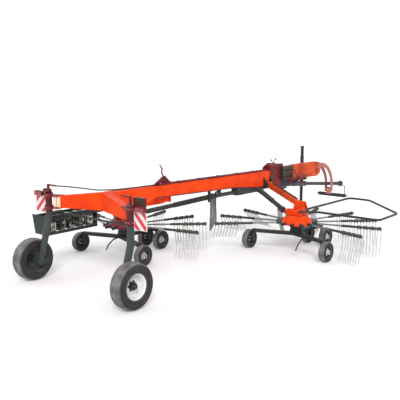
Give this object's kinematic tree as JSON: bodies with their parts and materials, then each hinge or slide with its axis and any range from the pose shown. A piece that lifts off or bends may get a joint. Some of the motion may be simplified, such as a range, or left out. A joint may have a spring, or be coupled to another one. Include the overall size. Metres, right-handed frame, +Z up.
{
  "type": "trailed twin rotor hay rake",
  "caption": "Trailed side delivery hay rake: two tined rotors on lifting booms under a long beam, steered rear axle legs, power shaft and pivoting cross bar hitch.",
  "frame": {"origin": "on the ground below the middle of the machine's bounding box", "axes": "+Y is forward, towards the hitch; +X is the machine's right; +Z is up"},
  "size_m": [6.089, 9.4868, 2.0151],
  "materials": {
    "black_plastic": "matt",
    "board_sheet": "reflective sheet with red stripes",
    "cast": "painted casting",
    "curtain_cloth": "woven, matt",
    "dark_paint": "semi-gloss",
    "galvanised": "zinc grey, dull",
    "lamp_plastic": "dark red lens in a black housing",
    "orange_paint": "semi-gloss, worn",
    "red_brown_paint": "satin",
    "rim_paint": "satin silver",
    "tyre_rubber": "dull"
  },
  "bodies": {
    "frame": {"rear_cross_beam": "orange_paint", "main_beam": "orange_paint", "leg_bearings": "dark_paint", "warning_boards": "board_sheet", "board_arms": "dark_paint", "drawbar_bracket": "red_brown_paint", "drawbar": "orange_paint", "valve_box": "black_plastic", "input_gearbox": "cast", "jack_sleeve": "dark_paint", "gooseneck": "red_brown_paint", "power_shaft": "black_plastic", "splitter_gearbox": "cast", "lever_tower": "dark_paint", "front_boom_hinge": "dark_paint", "rear_boom_hinge": "dark_paint", "swath_curtain": "curtain_cloth", "curtain_carrier": "dark_paint", "tail_lamps": "lamp_plastic", "conduit": "dark_paint"},
    "left_leg": {"leg_left": "dark_paint"},
    "right_leg": {"leg_right": "dark_paint"},
    "tie_rod": {"tie_rod": "dark_paint"},
    "left_wheel": {"tyre_left": "tyre_rubber", "rim_left": "rim_paint"},
    "right_wheel": {"tyre_right": "tyre_rubber", "rim_right": "rim_paint"},
    "jack": {"jack_leg": "dark_paint"},
    "hitch": {"hitch_yoke": "dark_paint"},
    "front_boom": {"front_boom": "orange_paint"},
    "front_head": {"front_head": "dark_paint", "front_carriage": "dark_paint", "front_guard": "dark_paint"},
    "front_rotor": {"front_hub": "orange_paint", "front_arms": "galvanised"},
    "front_shaft": {"front_drive_shaft": "black_plastic"},
    "front_small_wheel_1": {"front_wheel_1": "tyre_rubber"},
    "front_small_wheel_2": {"front_wheel_2": "tyre_rubber"},
    "front_small_wheel_3": {"front_wheel_3": "tyre_rubber"},
    "front_small_wheel_4": {"front_wheel_4": "tyre_rubber"},
    "rear_boom": {"rear_boom": "orange_paint"},
    "rear_head": {"rear_head": "dark_paint", "rear_carriage": "dark_paint", "tine_rack": "dark_paint", "stowed_arms": "galvanised"},
    "rear_rotor": {"rear_hub": "orange_paint", "rear_arms": "galvanised"},
    "rear_shaft": {"rear_drive_shaft": "black_plastic"},
    "rear_small_wheel_1": {"rear_wheel_1": "tyre_rubber"},
    "rear_small_wheel_2": {"rear_wheel_2": "tyre_rubber"},
    "rear_small_wheel_3": {"rear_wheel_3": "tyre_rubber"},
    "rear_small_wheel_4": {"rear_wheel_4": "tyre_rubber"}
  },
  "joints": [
    {"name": "hitch_yaw", "type": "hinge", "parent": "frame", "child": "hitch", "pos_m": [-0.03819, 4.03656, 0.8], "axis": [0, 0, 1], "range_deg": [-45, 45]},
    {"name": "left_leg_steer", "type": "hinge", "parent": "frame", "child": "left_leg", "pos_m": [-1.08819, -4.14344, 1.3], "axis": [0, 0, 1], "range_deg": [-20, 20]},
    {"name": "right_leg_steer", "type": "hinge", "parent": "frame", "child": "right_leg", "pos_m": [1.01181, -4.14344, 1.3], "axis": [0, 0, 1], "range_deg": [-20, 20]},
    {"name": "tie_rod_pivot", "type": "hinge", "parent": "left_leg", "child": "tie_rod", "pos_m": [-1.08819, -3.88344, 1.19], "axis": [0, 0, 1], "range_deg": [-20, 20]},
    {"name": "left_wheel_spin", "type": "hinge", "parent": "left_leg", "child": "left_wheel", "pos_m": [-1.31819, -4.36344, 0.38], "axis": [1, 0, 0], "continuous": true},
    {"name": "right_wheel_spin", "type": "hinge", "parent": "right_leg", "child": "right_wheel", "pos_m": [1.24181, -4.36344, 0.38], "axis": [1, 0, 0], "continuous": true},
    {"name": "jack_slide", "type": "slide", "parent": "frame", "child": "jack", "axis": [0, 0, 1], "range_m": [0, 0.55]},
    {"name": "front_boom_lift", "type": "hinge", "parent": "frame", "child": "front_boom", "pos_m": [0.13381, 1.00656, 1.29], "axis": [0, -1, 0], "range_deg": [0, 18]},
    {"name": "front_head_level", "type": "hinge", "parent": "front_boom", "child": "front_head", "pos_m": [1.18181, 0.68656, 0.99], "axis": [0, -1, 0], "range_deg": [-18, 0]},
    {"name": "front_shaft_swing", "type": "hinge", "parent": "frame", "child": "front_shaft", "pos_m": [0.11181, 0.64656, 1.205], "axis": [0, -1, 0], "range_deg": [0, 23.26]},
    {"name": "front_rotor_spin", "type": "hinge", "parent": "front_head", "child": "front_rotor", "pos_m": [1.18181, 0.52656, 0.63], "axis": [0, 0, 1], "continuous": true},
    {"name": "front_small_wheel_1_spin", "type": "hinge", "parent": "front_head", "child": "front_small_wheel_1", "pos_m": [2.11681, 0.13156, 0.205], "axis": [1, 0, 0], "continuous": true},
    {"name": "front_small_wheel_2_spin", "type": "hinge", "parent": "front_head", "child": "front_small_wheel_2", "pos_m": [0.23681, 0.13156, 0.205], "axis": [1, 0, 0], "continuous": true},
    {"name": "front_small_wheel_3_spin", "type": "hinge", "parent": "front_head", "child": "front_small_wheel_3", "pos_m": [1.40681, 1.36656, 0.205], "axis": [1, 0, 0], "continuous": true},
    {"name": "front_small_wheel_4_spin", "type": "hinge", "parent": "front_head", "child": "front_small_wheel_4", "pos_m": [0.95681, 1.36656, 0.205], "axis": [1, 0, 0], "continuous": true},
    {"name": "rear_boom_lift", "type": "hinge", "parent": "frame", "child": "rear_boom", "pos_m": [-0.21019, -2.13344, 1.29], "axis": [0, 1, 0], "range_deg": [0, 18]},
    {"name": "rear_head_level", "type": "hinge", "parent": "rear_boom", "child": "rear_head", "pos_m": [-1.38819, -2.13344, 0.99], "axis": [0, 1, 0], "range_deg": [-18, 0]},
    {"name": "rear_shaft_swing", "type": "hinge", "parent": "frame", "child": "rear_shaft", "pos_m": [-0.06819, -0.72344, 1.215], "axis": [0, 1, 0], "range_deg": [0, 22.39]},
    {"name": "rear_rotor_spin", "type": "hinge", "parent": "rear_head", "child": "rear_rotor", "pos_m": [-1.38819, -2.04344, 0.63], "axis": [0, 0, 1], "continuous": true},
    {"name": "rear_small_wheel_1_spin", "type": "hinge", "parent": "rear_head", "child": "rear_small_wheel_1", "pos_m": [-0.45319, -2.43844, 0.205], "axis": [1, 0, 0], "continuous": true},
    {"name": "rear_small_wheel_2_spin", "type": "hinge", "parent": "rear_head", "child": "rear_small_wheel_2", "pos_m": [-2.33319, -2.43844, 0.205], "axis": [1, 0, 0], "continuous": true},
    {"name": "rear_small_wheel_3_spin", "type": "hinge", "parent": "rear_head", "child": "rear_small_wheel_3", "pos_m": [-1.16319, -1.20344, 0.205], "axis": [1, 0, 0], "continuous": true},
    {"name": "rear_small_wheel_4_spin", "type": "hinge", "parent": "rear_head", "child": "rear_small_wheel_4", "pos_m": [-1.61319, -1.20344, 0.205], "axis": [1, 0, 0], "continuous": true}
  ],
  "couplings": [
    {"joint": "left_leg_steer", "follows": "hitch_yaw", "ratio": -0.44444},
    {"joint": "right_leg_steer", "follows": "hitch_yaw", "ratio": -0.44444},
    {"joint": "tie_rod_pivot", "follows": "hitch_yaw", "ratio": 0.44444},
    {"joint": "front_head_level", "follows": "front_boom_lift", "ratio": -1},
    {"joint": "front_shaft_swing", "follows": "front_boom_lift", "ratio": 1.281},
    {"joint": "rear_head_level", "follows": "rear_boom_lift", "ratio": -1},
    {"joint": "rear_shaft_swing", "follows": "rear_boom_lift", "ratio": 1.233}
  ]
}
